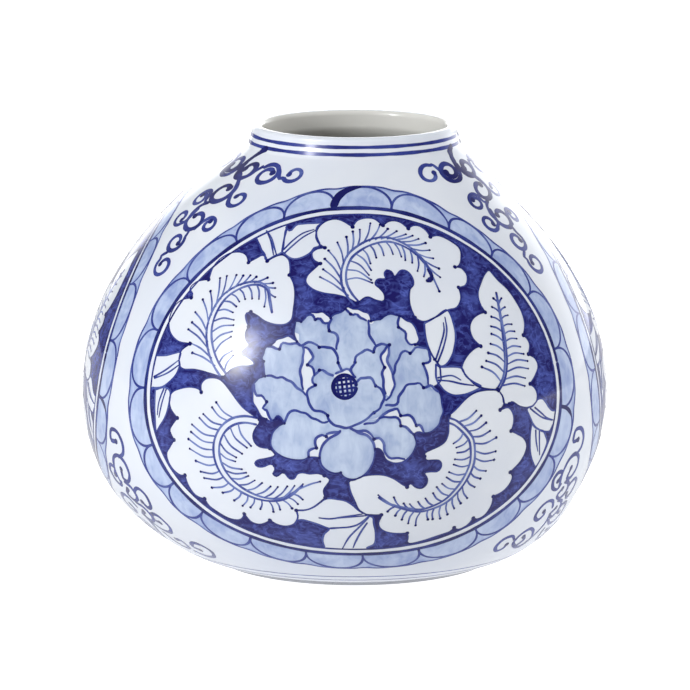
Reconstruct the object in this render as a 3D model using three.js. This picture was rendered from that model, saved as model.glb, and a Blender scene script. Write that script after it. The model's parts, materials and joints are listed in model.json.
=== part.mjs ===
// A squat, wide-shouldered porcelain vase with a short upright collar and a low turned foot.
// Millimetres, +Z up. The origin is under the middle of the belly, on the plane that it stands on.
// It is built as the potter builds it, from sections that are joined with slip before the firing:
// a turned foot ring, a lower bowl with the floor in it, a domed shoulder and a mouth collar.
// Neighbouring sections meet face to face on level planes.
import * as THREE from "three";

// Driving dimensions
const HEIGHT = 208; // foot to lip
const BELLY_RADIUS = 125; // widest circle, outside
const BELLY_HEIGHT = 80; // height of the widest circle, where bowl and shoulder are luted together
const MOUTH_RADIUS = 48.4; // outside of the collar at the lip
const COLLAR_HEIGHT = 9.5; // upright collar above the shoulder
const COLLAR_SPREAD = 2.1; // the collar is this much wider at its base
const FOOT_RADIUS = 68; // outside of the foot ring
const FOOT_WIDTH = 8; // of the foot ring's flat standing face
const FOOT_HEIGHT = 2; // how far the ring stands below the bowl
const FOOT_BEVEL = 0.5; // on the ring's two lower edges
const WALL = 5; // porcelain, measured square to the surface
const FLOOR = 6.5; // thickness over the recess under the floor
const RECESS = 2.5; // how far the underside is hollowed above the ring's top
const BOWL_FULLNESS = 0.62; // exponent of the bowl's outline: smaller is fuller
const SHOULDER_SLOPE = THREE.MathUtils.degToRad(41.7); // of the shoulder where it meets the collar
const SHOULDER_RISE = 0.484; // straightness of the shoulder above the belly, a share of its height
const SHOULDER_RUN = 0.321; // straightness of the cone below the collar, a share of the shoulder's height
const BELLY_LEAN = 4.8; // the foot and the mouth sit this far to +X of the hand-thrown belly
const LEAN_RISE = 40; // height over which the belly moves off the foot's axis
const LEAN_FALL = 27; // height over which the shoulder comes back to the collar

// Fineness of the facets
const AROUND = 60; // facets around the vase
const BOWL_STEPS = 11; // along the bowl's outline
const SHOULDER_STEPS = 11; // along the shoulder's outline
const LIP_STEPS = 6; // around the rounded lip

const NECK_HEIGHT = HEIGHT - COLLAR_HEIGHT;
const MOUTH_BORE = MOUTH_RADIUS - WALL;
const NECK_RADIUS = MOUTH_RADIUS + COLLAR_SPREAD;
const FOOT_BORE = FOOT_RADIUS - FOOT_WIDTH;

const point = (r, z) => new THREE.Vector2(r, z);

// The bowl's outside, from the foot ring's top edge up to the belly: a superellipse quarter,
// stepped more closely where it turns fastest.
function bowlOutline() {
  const points = [];
  for (let i = 0; i <= BOWL_STEPS; i++) {
    const share = (i / BOWL_STEPS) ** 2;
    const out = (1 - (1 - share) ** 2) ** BOWL_FULLNESS;
    points.push(
      point(
        THREE.MathUtils.lerp(FOOT_RADIUS, BELLY_RADIUS, out),
        THREE.MathUtils.lerp(FOOT_HEIGHT, BELLY_HEIGHT, share),
      ),
    );
  }
  return points;
}

// The shoulder's outside, from the belly up to the collar: upright at the belly, a cone at the top.
function shoulderOutline() {
  const rise = NECK_HEIGHT - BELLY_HEIGHT;
  const run = SHOULDER_RUN * rise;
  const curve = new THREE.CubicBezierCurve(
    point(BELLY_RADIUS, BELLY_HEIGHT),
    point(BELLY_RADIUS, BELLY_HEIGHT + SHOULDER_RISE * rise),
    point(
      NECK_RADIUS + run * Math.cos(SHOULDER_SLOPE),
      NECK_HEIGHT - run * Math.sin(SHOULDER_SLOPE),
    ),
    point(NECK_RADIUS, NECK_HEIGHT),
  );
  return curve.getPoints(SHOULDER_STEPS);
}

// The same outline moved inwards by one wall, square to itself.
function insideOf(outline) {
  return outline.map((p, i) => {
    const before = outline[Math.max(i - 1, 0)];
    const after = outline[Math.min(i + 1, outline.length - 1)];
    const along = after.clone().sub(before).normalize();
    return point(p.x - WALL * along.y, p.y + WALL * along.x);
  });
}

// A turned ring section: a closed outline, given anticlockwise in (radius, height), spun about Z.
function turned(name, section, material) {
  const geometry = new THREE.LatheGeometry([...section, section[0]], AROUND);
  geometry.rotateX(Math.PI / 2); // the lathe's own axis is +Y
  const places = geometry.getAttribute("position");
  for (let i = 0; i < places.count; i++) {
    places.setX(i, places.getX(i) + leanAt(places.getZ(i)));
  }
  const mesh = new THREE.Mesh(geometry, material);
  mesh.name = name;
  return mesh;
}

// How far the circle at this height sits to +X of the belly.
function leanAt(z) {
  const aboveFoot = THREE.MathUtils.smoothstep(z, FOOT_HEIGHT, FOOT_HEIGHT + LEAN_RISE);
  const belowNeck = THREE.MathUtils.smoothstep(NECK_HEIGHT - z, 0, LEAN_FALL);
  return BELLY_LEAN * (1 - aboveFoot * belowNeck);
}

// A low ring with its two lower edges broken, and its standing face level.
function footSection() {
  return [
    point(FOOT_BORE + FOOT_BEVEL, 0),
    point(FOOT_RADIUS - FOOT_BEVEL, 0),
    point(FOOT_RADIUS, FOOT_BEVEL),
    point(FOOT_RADIUS, FOOT_HEIGHT),
    point(FOOT_BORE, FOOT_HEIGHT),
    point(FOOT_BORE, FOOT_BEVEL),
  ];
}

// The bowl: its outside, the level joint at the belly, its inside, the floor and the recess under it.
function bowlSection() {
  const underside = FOOT_HEIGHT + RECESS;
  const floor = underside + FLOOR;
  const outside = bowlOutline();
  const inside = insideOf(outside)
    .filter((p) => p.y > floor + WALL / 2 && p.y < BELLY_HEIGHT)
    .reverse();
  const corner = inside[inside.length - 1];
  return [
    point(0, underside),
    point(FOOT_BORE - RECESS, underside),
    point(FOOT_BORE, FOOT_HEIGHT),
    ...outside,
    point(BELLY_RADIUS - WALL, BELLY_HEIGHT),
    ...inside,
    point(corner.x - 2 * WALL, floor + WALL / 5), // a soft corner where the wall meets the floor
    point(corner.x - 4 * WALL, floor),
    point(0, floor),
  ];
}

// The shoulder: a dome with a level joint at the belly and another under the collar.
function shoulderSection() {
  const outside = shoulderOutline();
  const inside = insideOf(outside)
    .filter((p) => p.y > BELLY_HEIGHT && p.x > MOUTH_BORE + WALL / 5)
    .reverse();
  return [
    point(BELLY_RADIUS - WALL, BELLY_HEIGHT),
    ...outside,
    point(MOUTH_BORE, NECK_HEIGHT),
    ...inside,
  ];
}

// The collar: a short upright ring with a rounded lip.
function collarSection() {
  const lip = WALL / 2;
  const section = [point(MOUTH_BORE, NECK_HEIGHT), point(NECK_RADIUS, NECK_HEIGHT)];
  for (let i = 0; i <= LIP_STEPS; i++) {
    const turn = (Math.PI * i) / LIP_STEPS;
    section.push(point(MOUTH_RADIUS - lip + lip * Math.cos(turn), HEIGHT - lip + lip * Math.sin(turn)));
  }
  return section;
}

const glazed = new THREE.MeshStandardMaterial({ color: 0xe9ecf2, roughness: 0.08, metalness: 0 });
const biscuit = new THREE.MeshStandardMaterial({ color: 0xe6ddcf, roughness: 0.75, metalness: 0 });

const vase = new THREE.Group();
vase.add(
  turned("foot_ring", footSection(), biscuit),
  turned("lower_bowl", bowlSection(), glazed),
  turned("upper_shoulder", shoulderSection(), glazed),
  turned("mouth_collar", collarSection(), glazed),
);

export default vase;
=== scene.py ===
# %% [markdown]
# # A blue and white porcelain vase
# The object is a squat, wide-shouldered vase: white porcelain under a thick clear glaze, with
# three oval flower panels and scrolling vines painted in cobalt before the glaze went on. The
# solid shape comes from the CAD frame. This lesson turns the pot again at a finer grain, and then
# paints it. The painting is made of real, very thin pieces that lie on the pot like dried pigment,
# so every brush line keeps a crisp edge however close the camera comes.

# %% Load the frame and keep its box
import json
import math
import random

import bpy
import numpy as np
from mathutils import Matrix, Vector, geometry

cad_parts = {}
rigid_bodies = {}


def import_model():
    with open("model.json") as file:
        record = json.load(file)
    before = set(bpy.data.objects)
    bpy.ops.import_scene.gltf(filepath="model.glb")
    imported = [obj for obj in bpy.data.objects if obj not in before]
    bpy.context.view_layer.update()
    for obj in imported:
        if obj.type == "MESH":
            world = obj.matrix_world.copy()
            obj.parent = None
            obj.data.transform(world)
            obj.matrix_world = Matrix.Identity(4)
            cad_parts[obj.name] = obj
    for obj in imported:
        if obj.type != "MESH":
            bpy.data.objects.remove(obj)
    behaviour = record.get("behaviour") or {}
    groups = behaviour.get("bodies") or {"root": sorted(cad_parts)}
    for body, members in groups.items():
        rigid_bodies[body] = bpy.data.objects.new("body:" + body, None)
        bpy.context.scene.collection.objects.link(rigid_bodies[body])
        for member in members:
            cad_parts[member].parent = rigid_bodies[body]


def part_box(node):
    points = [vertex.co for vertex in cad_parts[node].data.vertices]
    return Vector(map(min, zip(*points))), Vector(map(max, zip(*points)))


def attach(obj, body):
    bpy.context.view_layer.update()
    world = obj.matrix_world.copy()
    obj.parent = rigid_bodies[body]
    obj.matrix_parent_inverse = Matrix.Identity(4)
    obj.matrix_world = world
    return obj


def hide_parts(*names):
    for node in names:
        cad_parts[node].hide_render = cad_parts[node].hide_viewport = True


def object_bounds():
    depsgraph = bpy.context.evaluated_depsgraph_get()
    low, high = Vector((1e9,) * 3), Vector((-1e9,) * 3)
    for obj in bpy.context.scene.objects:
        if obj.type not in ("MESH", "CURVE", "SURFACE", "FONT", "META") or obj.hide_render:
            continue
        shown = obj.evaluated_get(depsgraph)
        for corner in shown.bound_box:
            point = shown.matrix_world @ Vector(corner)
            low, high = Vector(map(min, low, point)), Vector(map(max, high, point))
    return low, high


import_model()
cad_low, cad_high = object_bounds()
MM = 0.001
print("CAD box, mm:", [round(v / MM, 1) for v in (*cad_low, *cad_high)])

# %% [markdown]
# ## The pot's outline
# A thrown pot is one outline turned about an axis, so the outline comes first. Its main sizes are
# read from the CAD sections: the bowl ends where the shoulder begins, at the widest circle, and
# the shoulder ends under the collar. The bowl is a quarter of a superellipse. The shoulder is one
# Bezier curve that leaves the belly upright and reaches the collar as a cone.

# %% Sizes from the frame
foot_low, foot_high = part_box("foot_ring")
bowl_low, bowl_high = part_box("lower_bowl")
shoulder_low, shoulder_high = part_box("upper_shoulder")
collar_low, collar_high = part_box("mouth_collar")

BELLY_RADIUS = bowl_high[1]
BELLY_HEIGHT = bowl_high[2]
FOOT_RADIUS = foot_high[1]
FOOT_HEIGHT = foot_high[2]
NECK_RADIUS = collar_high[1]
NECK_HEIGHT = collar_low[2]
HEIGHT = cad_high[2]
LEAN = (foot_low[0] + foot_high[0]) / 2

WALL = 5 * MM
COLLAR_SPREAD = 2.1 * MM
MOUTH_RADIUS = NECK_RADIUS - COLLAR_SPREAD
FLOOR_TOP = 11 * MM
FOOT_WIDTH = 8 * MM
RECESS_TOP = 4.5 * MM
BOWL_FULLNESS = 0.62
SHOULDER_SLOPE = math.radians(41.7)
SHOULDER_RISE = 0.484
SHOULDER_RUN = 0.321
LEAN_RISE = 40 * MM
LEAN_FALL = 27 * MM
print(f"belly {2 * BELLY_RADIUS / MM:.0f} mm wide, {HEIGHT / MM:.0f} mm high, lean {LEAN / MM:.1f} mm")
bowl_rise, shoulder_rise = bowl_high[2] - bowl_low[2], shoulder_high[2] - shoulder_low[2]
print(f"bowl {bowl_rise / MM:.0f} mm high, shoulder {shoulder_rise / MM:.0f} mm")


# %% Radius and height along the outside, from the foot to the top of the lip
SAME_POINT = 0.02 * MM


def bowl_curve(count):
    share = np.linspace(0, 1, count) ** 2
    out = (1 - (1 - share) ** 2) ** BOWL_FULLNESS
    radius = FOOT_RADIUS + (BELLY_RADIUS - FOOT_RADIUS) * out
    height = FOOT_HEIGHT + (BELLY_HEIGHT - FOOT_HEIGHT) * share
    return np.stack([radius, height], axis=1)


def shoulder_curve(count):
    rise = NECK_HEIGHT - BELLY_HEIGHT
    run = SHOULDER_RUN * rise
    ends = np.array([
        [BELLY_RADIUS, BELLY_HEIGHT],
        [BELLY_RADIUS, BELLY_HEIGHT + SHOULDER_RISE * rise],
        [NECK_RADIUS + run * math.cos(SHOULDER_SLOPE), NECK_HEIGHT - run * math.sin(SHOULDER_SLOPE)],
        [NECK_RADIUS, NECK_HEIGHT],
    ])
    u = np.linspace(0, 1, count)[:, None]
    weights = np.hstack([(1 - u) ** 3, 3 * u * (1 - u) ** 2, 3 * u * u * (1 - u), u ** 3])
    return weights @ ends


def arc(centre, radius, start, stop, count):
    """Points on a circle in the (radius, height) plane; angles in degrees, 0 outwards, 90 up."""
    turn = np.radians(np.linspace(start, stop, count))
    return np.stack([centre[0] + radius * np.cos(turn), centre[1] + radius * np.sin(turn)], axis=1)


def joined(*pieces):
    """One outline from several, with a point that two of them share kept once."""
    points = np.vstack(pieces)
    apart = np.hypot(*np.diff(points, axis=0).T) > SAME_POINT
    return points[np.r_[True, apart]]


LIP = WALL / 2
lip_centre = (MOUTH_RADIUS - LIP, HEIGHT - LIP)
outside = joined(bowl_curve(90), shoulder_curve(90), arc(lip_centre, LIP, 0, 90, 14))
along = np.r_[0, np.cumsum(np.hypot(*np.diff(outside, axis=0).T))]
belly_at = np.interp(BELLY_HEIGHT, outside[:100, 1], along[:100])
along = (along - belly_at) / MM
print(f"outline: {along[0]:.0f} mm below the belly to {along[-1]:.0f} mm above it")

# %% [markdown]
# ## Turning the pot
# The body is turned as a potter or a lathe would do it. A plane is added and cut down to one
# corner, that corner is extruded along the outline, and the line is spun about the upright axis.
# Spin leaves a seam and can turn the skin inside out, so the doubles are merged and the normals
# are made to point outwards. A thrown pot is never quite true: the belly of this one sits a few
# millimetres to one side of its foot and mouth, so each level of the finished mesh is slid sideways.

# %% Operator helpers
SPIN_STEPS = 240
SAME_CORNER = 0.005 * MM


def deselect_all():
    for other in bpy.context.selected_objects:
        other.select_set(False)


def make_active(piece):
    deselect_all()
    piece.select_set(True)
    bpy.context.view_layer.objects.active = piece


def lean_at(height):
    """How far to +X the circle at this height sits."""
    def eased(share):
        share = np.clip(share, 0, 1)
        return share * share * (3 - 2 * share)

    upright = eased((height - FOOT_HEIGHT) / LEAN_RISE) * eased((NECK_HEIGHT - height) / LEAN_FALL)
    return LEAN * (1 - upright)


print(f"the belly is {(lean_at(FOOT_HEIGHT) - lean_at(BELLY_HEIGHT)) / MM:.1f} mm to one side of the foot")


# %% Spin an outline into a pot
def mark_hollow(mesh, place):
    """Marks the points of the inside, whose glaze is painted a warmer grey as painted shade for the hollow.
    """
    skin = np.interp(place[:, 2], outside[:, 1], outside[:, 0])
    hollow = (np.hypot(*place[:, :2].T) < skin - 2 * MM) & (place[:, 2] > FLOOR_TOP - MM)
    mesh.attributes.new("hollow", "FLOAT", "POINT").data.foreach_set("value", hollow.astype(np.float32))


def turned(name, profile, smooth_below):
    """Spins a profile of (radius, height) points into a closed skin."""
    deselect_all()
    bpy.ops.mesh.primitive_plane_add(size=2 * MM, location=(0, 0, 0))
    piece = bpy.context.object
    piece.name = piece.data.name = name
    bpy.ops.object.mode_set(mode="EDIT")
    bpy.ops.mesh.merge(type="CENTER")
    bpy.ops.transform.translate(value=(profile[0][0], 0, profile[0][1]))
    for before, after in zip(profile, profile[1:]):
        move = (after[0] - before[0], 0, after[1] - before[1])
        bpy.ops.mesh.extrude_region_move(TRANSFORM_OT_translate={"value": move})
    bpy.ops.mesh.select_all(action="SELECT")
    bpy.ops.mesh.spin(steps=SPIN_STEPS, angle=2 * math.pi, center=(0, 0, 0), axis=(0, 0, 1))
    bpy.ops.mesh.select_all(action="SELECT")
    bpy.ops.mesh.remove_doubles(threshold=SAME_CORNER)
    bpy.ops.mesh.normals_make_consistent(inside=False)
    bpy.ops.object.mode_set(mode="OBJECT")
    bpy.ops.object.shade_smooth_by_angle(angle=math.radians(smooth_below))
    place = np.empty(3 * len(piece.data.vertices))
    piece.data.vertices.foreach_get("co", place)
    place = place.reshape(-1, 3)
    mark_hollow(piece.data, place)
    place[:, 0] += lean_at(place[:, 2])
    piece.data.vertices.foreach_set("co", place.ravel())
    piece.data.update()
    return piece


# %% [markdown]
# ## The glazed body
# The body's outline carries on over the rounded lip, down the inside one wall's thickness in, over
# the floor, and back along the glazed hollow under the foot to where the glaze was wiped off. The
# inside is the outside moved inwards, square to itself.

# %% The closed outline of the glazed body
slope = np.gradient(outside, axis=0)
slope /= np.hypot(*slope.T)[:, None]
inner = outside + WALL * np.stack([-slope[:, 1], slope[:, 0]], axis=1)
reaches = (inner[:, 1] > FLOOR_TOP + WALL) & (inner[:, 1] < NECK_HEIGHT - 2 * MM)
inner = inner[reaches & (inner[:, 0] > MOUTH_RADIUS - WALL + 0.5 * MM)][::-1]
heel = FOOT_RADIUS - FOOT_WIDTH
floor_edge = inner[-1] + np.array([-4 * WALL, 0])
body_outline = joined(
    [(0, RECESS_TOP), (heel - 8 * MM, RECESS_TOP)],
    [(heel - 4 * MM, RECESS_TOP - 0.1 * MM), (heel - 1.5 * MM, RECESS_TOP - 0.7 * MM)],
    arc((heel + 0.6 * MM, FOOT_HEIGHT - 0.1 * MM), 0.6 * MM, 180, 270, 4),
    arc((FOOT_RADIUS - 0.5 * MM, FOOT_HEIGHT), 0.7 * MM, 270, 320, 4),
    outside[2:],
    arc(lip_centre, LIP, 90, 180, 14),
    [(MOUTH_RADIUS - WALL, NECK_HEIGHT + 2 * MM), (MOUTH_RADIUS - WALL + 0.2 * MM, NECK_HEIGHT)],
    inner,
    [(floor_edge[0] + 2 * WALL, FLOOR_TOP + 1.2 * MM), (floor_edge[0], FLOOR_TOP), (0, FLOOR_TOP)],
)
body = turned("glazed_body", body_outline, smooth_below=50)
print("glazed_body:", len(body.data.polygons), "faces")

# %% [markdown]
# ## The foot ring
# The vase stands on a narrow ring that was wiped clean of glaze and shows the bare, slightly warm
# clay. It is a separate turned piece with softly broken edges, so that it can have a dry finish.

# %% The bare foot ring
EDGE = 0.5 * MM
ring_outline = joined(
    [(heel + 0.8 * MM, FOOT_HEIGHT + 0.6 * MM)],
    arc((heel + EDGE, EDGE), EDGE, 180, 270, 6),
    arc((FOOT_RADIUS - EDGE, EDGE), EDGE, 270, 360, 6),
    [(FOOT_RADIUS - 0.3 * MM, FOOT_HEIGHT + 0.6 * MM), (heel + 0.8 * MM, FOOT_HEIGHT + 0.6 * MM)],
)
foot = turned("foot_rim", ring_outline, smooth_below=60)
print("foot_rim:", len(foot.data.polygons), "faces")

# %% [markdown]
# ## Drawing on the pot
# A decorator thinks of the surface as a sheet of paper wrapped round the pot. Here a point on that
# sheet is (across, up), in millimetres: across is measured round the belly from the middle of the
# front panel, and up is measured along the outline from the belly. One function puts such points
# on the pot, a hair above the glaze, and also gives the true direction of the surface there. The
# painted pieces take their shading from that direction, so reflections run over them unbroken.

# %% From the sheet to the pot
PANEL_TURN = math.radians(2.65)
SHEET_RADIUS = BELLY_RADIUS / MM
PANELS = 3
PITCH = 2 * math.pi * SHEET_RADIUS / PANELS


def narrowing(up):
    """How much shorter a millimetre across the sheet is at this height than at the belly."""
    return np.interp(up, along, outside[:, 0]) / BELLY_RADIUS


def on_pot(sheet, shift):
    """Places and outward directions for sheet points; shift moves them round the pot, in sheet mm."""
    def place(across, up):
        turn = PANEL_TURN + across / SHEET_RADIUS
        radius = np.interp(up, along, outside[:, 0])
        height = np.interp(up, along, outside[:, 1])
        x = lean_at(height) + radius * np.sin(turn)
        return np.stack([x, -radius * np.cos(turn), height], axis=1)

    across, up = sheet[:, 0] + shift, sheet[:, 1]
    sideways = place(across + 1, up) - place(across - 1, up)
    upwards = place(across, up + 1) - place(across, up - 1)
    facing = np.cross(sideways, upwards)
    return place(across, up), facing / np.linalg.norm(facing, axis=1)[:, None]


def circle(centre, radius, turn):
    """Sheet points round a centre, spread so that they lie on a true circle on the pot."""
    across = centre[0] + radius / float(narrowing(centre[1])) * np.cos(turn)
    return np.stack([across, centre[1] + radius * np.sin(turn)], axis=1)


print(f"{PANELS} panels, {PITCH:.0f} mm from one to the next")

# %% [markdown]
# ## Curves
# A petal's or leaf's margin is a string of lobes. Each lobe is a smooth curve through a few chosen
# points, and it starts where the last one ended, so the joins between lobes stay sharp.

# %% Curves through points
STEP = 1.1


def pairs(numbers):
    """Points out of a plain x, y, x, y, ... list."""
    return np.reshape(numbers, (-1, 2)).astype(float)


def smooth_curve(points, step=STEP):
    """A curve through the points, sampled about every step millimetres."""
    p = pairs(points)
    if len(p) == 2:
        count = max(2, int(np.ceil(np.hypot(*(p[1] - p[0])) / step)) + 1)
        return p[0] + np.linspace(0, 1, count)[:, None] * (p[1] - p[0])
    p = np.vstack([2 * p[0] - p[1], p, 2 * p[-1] - p[-2]])
    curve = [p[1:2]]
    for a, b, c, d in zip(p, p[1:], p[2:], p[3:]):
        gaps = [max(math.dist(*ends), 1e-6) ** 0.5 for ends in ((a, b), (b, c), (c, d))]
        k0, k1, k2, k3 = 0, gaps[0], gaps[0] + gaps[1], sum(gaps)
        t = np.linspace(k1, k2, max(2, int(np.ceil(math.dist(b, c) / step)) + 1))[1:, None]
        ab = a + (b - a) * (t - k0) / (k1 - k0)
        bc = b + (c - b) * (t - k1) / (k2 - k1)
        cd = c + (d - c) * (t - k2) / (k3 - k2)
        abc = ab + (bc - ab) * (t - k0) / (k2 - k0)
        bcd = bc + (cd - bc) * (t - k1) / (k3 - k1)
        curve.append(abc + (bcd - abc) * (t - k1) / (k2 - k1))
    return np.vstack(curve)


def chained(lobes, closed=True):
    """The lobes as curves, each running on from the last point of the one before."""
    last = lobes[-1][-2:] if closed else []
    curves = []
    for lobe in lobes:
        curves.append(smooth_curve([*last, *lobe]))
        last = lobe[-2:]
    return curves


def loop(lobes):
    """One closed margin out of lobes."""
    return np.vstack([curve[:-1] for curve in chained(lobes)])


def inside(points, border):
    """For each point, whether it is inside the closed border."""
    x, y = points[:, 0][:, None], points[:, 1][:, None]
    ax, ay = border.T
    bx, by = np.roll(border, -1, axis=0).T
    crosses = (ay > y) != (by > y)
    with np.errstate(divide="ignore", invalid="ignore"):
        left = x < (bx - ax) * (y - ay) / (by - ay) + ax
    return (crosses & left).sum(axis=1) % 2 == 1


# %% [markdown]
# ## Paint
# Paint is a thin film with crisp edges. A brush stroke is a ribbon along a curve: its width swells
# and thins, its ends are round, and it carries a value called ink, from 0 for thin watery cobalt
# to 1 for a loaded brush. A filled area is a triangulated sheet that carries its distance from the
# nearest edge, because pigment settles there. Each film is drawn flat, wrapped on the pot, and
# given a thickness by a Solidify modifier.


# %% Paint on the flat sheet
FILM_THICKNESS = 0.1 * MM
LAYERS = 20
LAYER_STEP = 0.0008
FULL_BRUSH_HEIGHT = 0.02
BRUSH_END = np.array([0, 0.03, 0.12, 0.3, 0.5])
HALF_TIP = 0.4
WIDE_STROKE = 1.6
POOL_LENGTH = 2.5
TURN = 6.28


class Painting:
    """Flat paint: points, faces, and each point's ink and height over the rest of the film."""

    def __init__(self, seed):
        self.hand = random.Random(seed)
        self.points, self.faces, self.ink, self.proud = [], [], [], []
        self.strokes = 0

    def add(self, points, faces, ink):
        first = len(self.points)
        self.points.extend(map(tuple, points))
        self.faces.extend([first + v for v in face] for face in faces)
        self.ink.extend(ink)
        self.strokes += 1
        layer = LAYER_STEP * (self.strokes % LAYERS)
        self.proud.extend(MM * (layer + FULL_BRUSH_HEIGHT * min(i, 1)) for i in ink)

    def stroke(self, path, width=1.0, ink=0.6, ends=(1.0, 1.0), pooled=(0.0, 0.0), ring=False):
        """A ribbon. ends scales the width at its two ends, and pooled adds ink there."""
        path = np.array(path, float)
        squeeze = narrowing(path[1:, 1])
        step = np.diff(path, axis=0)
        length = np.r_[0, np.cumsum(np.hypot(step[:, 0] * squeeze, step[:, 1]))]
        total = length[-1]
        if total < 0.4:
            return
        if ring:
            stops = np.linspace(0, total, int(total / 3))[:-1]
        else:
            cap = width * BRUSH_END
            cap = cap[cap < total * 0.45]
            middle = np.arange(cap[-1] + STEP * 0.6, total - cap[-1] - STEP * 0.4, STEP)
            stops = np.r_[cap, middle, (total - cap)[::-1]]

        def at(distance):
            return np.stack([np.interp(distance, length, path[:, i]) for i in (0, 1)], axis=1)

        spot = at(stops)
        squeeze = narrowing(spot[:, 1])
        way = at(stops + HALF_TIP) - at(stops - HALF_TIP)
        way = way * np.stack([squeeze, np.ones(len(spot))], axis=1)
        if ring:
            way[:] = (1, 0)
        way /= np.maximum(np.hypot(*way.T)[:, None], 1e-6)
        side = np.stack([-way[:, 1] / squeeze, way[:, 0]], axis=1)
        share = stops / total
        half = width / 2 * (ends[0] + (1 - ends[0]) * np.clip(share * 3, 0, 1))
        half *= ends[1] + (1 - ends[1]) * np.clip((1 - share) * 3, 0, 1)
        wave, phase = self.hand.uniform(14, 30), self.hand.uniform(0, TURN)
        half *= 1 + 0.1 * np.sin(stops / wave * TURN + phase) + 0.05 * np.sin(stops / wave * 17 + 2 * phase)
        if not ring:
            near = np.clip(np.minimum(stops, total - stops) / (width / 2), 0, 1)
            half *= np.sqrt(np.clip(1 - (1 - near) ** 2, 0.02, 1))
        shade = ink + 0.12 * np.sin(stops / wave * 4 + 3 * phase)
        first, last = (np.clip(1 - gap / POOL_LENGTH, 0, 1) for gap in (stops, total - stops))
        shade += pooled[0] * first + pooled[1] * last
        n = len(spot)
        rows = (1, 0, -1) if width > WIDE_STROKE else (1, -1)
        faces = []
        for first in range(0, (len(rows) - 1) * n, n):
            faces += [(first + i, first + n + i, first + n + i + 1, first + i + 1) for i in range(n - 1)]
            if ring:
                faces.append((first + n - 1, first + 2 * n - 1, first + n, first))
        points = [spot + side * row * half[:, None] for row in rows]
        self.add(np.vstack(points), faces, [*shade] * len(rows))

    def outline(self, lobes, width=1.0, ink=0.6, closed=True, tick=0.0, bend=None):
        """Every lobe as a stroke of its own; tick is the radius of the touch left at each join."""
        curves = chained(lobes, closed)
        if bend:
            curves = [bend(curve) for curve in curves]
        for curve in curves:
            self.stroke(curve, width, ink, ends=(0.9, 0.75), pooled=(0.15, 0.15))
        if tick:
            for curve in curves if closed else curves[:-1]:
                self.blob(curve[-1], tick)

    def blob(self, centre, radius, ink=0.95):
        """A round touch of the brush's tip."""
        rim = circle(centre, radius, np.linspace(0, 2 * math.pi, 13)[:-1])
        self.add([centre, *rim], [(0, i + 1, (i + 1) % 12 + 1) for i in range(12)], [ink] * 13)

    def fill(self, borders, painted, grid=3.0):
        """Fills the places that painted() says, up to the borders. Its ink is the distance from one."""
        edge = np.vstack(borders)
        low, high = edge.min(axis=0), edge.max(axis=0)
        net = np.stack(np.meshgrid(*(np.arange(low[i], high[i], grid) for i in (0, 1))), axis=-1)
        net[1::2, :, 0] += grid / 2
        net = net.reshape(-1, 2)
        net = net[painted(net)]
        net = net[[np.hypot(*(edge - p).T).min() > grid * 0.4 for p in net]]
        links, first = [], 0
        for border in borders:
            links += [(first + i, first + (i + 1) % len(border)) for i in range(len(border))]
            first += len(border)
        result = geometry.delaunay_2d_cdt([tuple(p) for p in (*edge, *net)], links, [], 0, 1e-3)
        flat = np.array([tuple(v) for v in result[0]])
        shown = painted(np.array([flat[face].mean(axis=0) for face in result[2]]))
        faces = [face for face, keep in zip(result[2], shown) if keep]
        used = sorted({v for face in faces for v in face})
        number = {v: i for i, v in enumerate(used)}
        depth = [float(np.hypot(*(edge - p).T).min()) for p in flat[used]]
        self.add(flat[used], [[number[v] for v in face] for face in faces], depth)

    def wrap(self, name, shift, lift):
        """Puts a copy on the pot as a closed film whose thickness goes down into the glaze."""
        places, facing = on_pot(np.array(self.points), shift)
        places = places + facing * (lift * MM + np.array(self.proud))[:, None]
        mesh = bpy.data.meshes.new(name)
        mesh.from_pydata([tuple(p) for p in places], [], self.faces)
        inked = mesh.attributes.new("ink", "FLOAT", "POINT")
        inked.data.foreach_set("value", np.array(self.ink, np.float32))
        film = bpy.data.objects.new(name, mesh)
        bpy.context.collection.objects.link(film)
        make_active(film)
        shell = film.modifiers.new("film", "SOLIDIFY")
        shell.thickness = FILM_THICKNESS
        shell.offset = -1
        bpy.ops.object.modifier_apply(modifier=shell.name)
        film.data.shade_smooth()
        film.data.normals_split_custom_set_from_vertices([tuple(v) for v in (*facing, *facing)])
        print(f"{name}: {len(film.data.polygons)} faces")
        return film


# %% [markdown]
# ## The oval frame of a panel
# Each panel is framed by a double line along an oval that is a little squarer than an ellipse, and
# by a ring of scallops outside it. Everything follows from the oval: a scallop is a hump between
# two places on it. The painter set them out by eye, so their spacing is not quite even.

# %% The oval and its scallops
OVAL_MIDDLE = (0.75, 27.4)
OVAL_HALF = (108.8, 86.3)
OVAL_SQUARENESS = 2.25
BORDER_START = 2.4
BORDER = 14.6
SCALLOP_BASES = [
    -16, 115.5, 30, 113.5, 72, 101, 93, 82.5, 105, 60, 112, 33.5, 110, 7, 103, -15, 88, -35, 65, -49, 33,
    -59, 1.5, -61, -29.5, -60, -58, -52.5, -79, -38, -95, -26, -104, -8, -110, 17.5, -111, 44.5, -102, 70,
    -80, 93, -52, 108.5,
]
SCALLOPS = len(pairs(SCALLOP_BASES))


def oval(turn, out=0.0):
    """Points on the oval, grown by out; turn is 0 at the right and grows anticlockwise."""
    power = 2 / OVAL_SQUARENESS
    x = np.sign(np.cos(turn)) * np.abs(np.cos(turn)) ** power * (OVAL_HALF[0] + out)
    y = np.sign(np.sin(turn)) * np.abs(np.sin(turn)) ** power * (OVAL_HALF[1] + out)
    return np.stack([OVAL_MIDDLE[0] + x, OVAL_MIDDLE[1] + y], axis=-1)


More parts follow.
